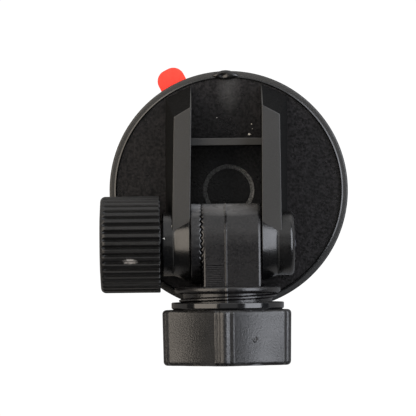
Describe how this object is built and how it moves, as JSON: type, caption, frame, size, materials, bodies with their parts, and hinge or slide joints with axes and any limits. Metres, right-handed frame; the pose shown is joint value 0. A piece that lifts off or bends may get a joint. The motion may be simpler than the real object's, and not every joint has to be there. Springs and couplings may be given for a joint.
{
  "type": "dash camera windscreen mount",
  "caption": "Adhesive disc mount for a dash camera: toothed tilt hinge clamped by a knurled knob, and a split ball socket with a collar nut.",
  "frame": {"origin": "centre of the release liner's underside, on the glass", "axes": "+Z away from the glass, the neck of the ball socket along -Y, the hinge axis along X with the knob at -X"},
  "size_m": [0.0623, 0.0746, 0.0385],
  "materials": {
    "textured_abs": "spark-eroded matte with satin web tops",
    "foam_tape": "closed-cell foam",
    "release_film": "satin film",
    "black_steel": "black oxide",
    "satin_nylon": "semi-gloss moulded",
    "acetal": "satin moulded",
    "zinc_steel": "bright zinc plate",
    "knob_abs": "matte ribbed",
    "insert_brass": "turned",
    "nut_nylon": "glossy collar over a fine matte body"
  },
  "bodies": {
    "base": {"base_bracket": "textured_abs", "foam_tape_pad": "foam_tape", "release_liner": "release_film", "hinge_bolt": "black_steel"},
    "knuckle": {"tilt_knuckle": "satin_nylon"},
    "detent": {"detent_ring": "acetal"},
    "knob_thrust": {"knob_washer": "zinc_steel"},
    "knob": {"clamp_knob": "knob_abs", "knob_insert": "insert_brass"},
    "nut": {"collar_nut": "nut_nylon"}
  },
  "joints": [
    {"name": "neck_tilt", "type": "hinge", "parent": "base", "child": "knuckle", "pos_m": [0, -0.0134, 0.0218], "axis": [-1, 0, 0], "range_deg": [0, 99]},
    {"name": "knob_turn", "type": "hinge", "parent": "knob_thrust", "child": "knob", "pos_m": [-0.025, -0.0134, 0.0218], "axis": [1, 0, 0], "range_deg": [0, 171]},
    {"name": "knob_travel", "type": "slide", "parent": "base", "child": "knob_thrust", "axis": [1, 0, 0], "range_m": [0, 0.00038]},
    {"name": "detent_travel", "type": "slide", "parent": "base", "child": "detent", "axis": [1, 0, 0], "range_m": [0, 0.00038]},
    {"name": "nut_turn", "type": "hinge", "parent": "knuckle", "child": "nut", "pos_m": [-0.0006, -0.036, 0.0218], "axis": [0, -1, 0], "range_deg": [-270, 90]}
  ],
  "couplings": [
    {"joint": "knob_turn", "follows": "knob_travel", "rad_per_m": 7854},
    {"joint": "detent_travel", "follows": "knob_travel", "ratio": 1}
  ]
}
